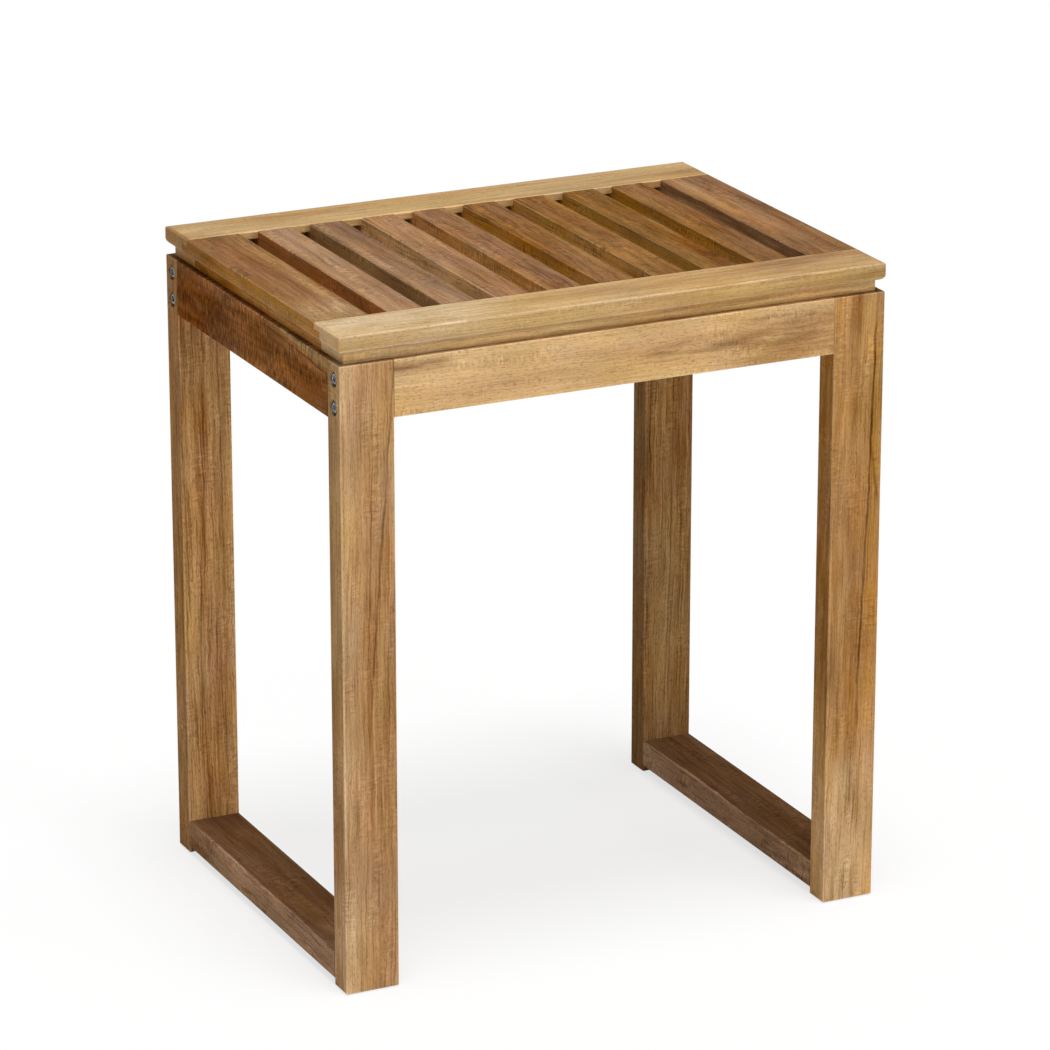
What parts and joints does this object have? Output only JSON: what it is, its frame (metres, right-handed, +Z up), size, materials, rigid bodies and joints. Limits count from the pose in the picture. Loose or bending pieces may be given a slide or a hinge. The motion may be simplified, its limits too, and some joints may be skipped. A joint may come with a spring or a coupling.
{
  "type": "bath stool",
  "caption": "Rectangular slatted wooden bath stool with flat board legs, low side stretchers and a grooved-rail seat, for sitting on or standing things on beside a bath.",
  "frame": {"origin": "on the floor, under the middle of the seat", "axes": "+X along the seat to the right, +Y from the front to the back, +Z up"},
  "size_m": [0.3936, 0.29, 0.45],
  "materials": {
    "pale_acacia": "oiled, satin",
    "golden_acacia": "oiled, satin",
    "brown_acacia": "oiled, satin",
    "dark_acacia": "oiled, satin",
    "beech_dowel": "plain turned",
    "zinc_plated_steel": "zinc plated"
  },
  "bodies": {
    "root": {"front_seat_rail": "pale_acacia", "back_seat_rail": "pale_acacia", "front_left_leg": "golden_acacia", "front_right_leg": "golden_acacia", "back_left_leg": "golden_acacia", "back_right_leg": "golden_acacia", "front_apron": "golden_acacia", "back_apron": "golden_acacia", "left_edge_slat": "brown_acacia", "right_edge_slat": "brown_acacia", "seat_slat_1": "brown_acacia", "seat_slat_2": "brown_acacia", "seat_slat_3": "brown_acacia", "seat_slat_4": "brown_acacia", "seat_slat_5": "brown_acacia", "seat_slat_6": "brown_acacia", "seat_slat_7": "brown_acacia", "seat_slat_8": "brown_acacia", "left_side_apron": "dark_acacia", "right_side_apron": "dark_acacia", "left_stretcher": "dark_acacia", "right_stretcher": "dark_acacia", "side_apron_dowels": "beech_dowel", "stretcher_dowels": "beech_dowel", "frame_bolts": "zinc_plated_steel", "barrel_nuts": "zinc_plated_steel", "seat_screws": "zinc_plated_steel"}
  },
  "joints": []
}
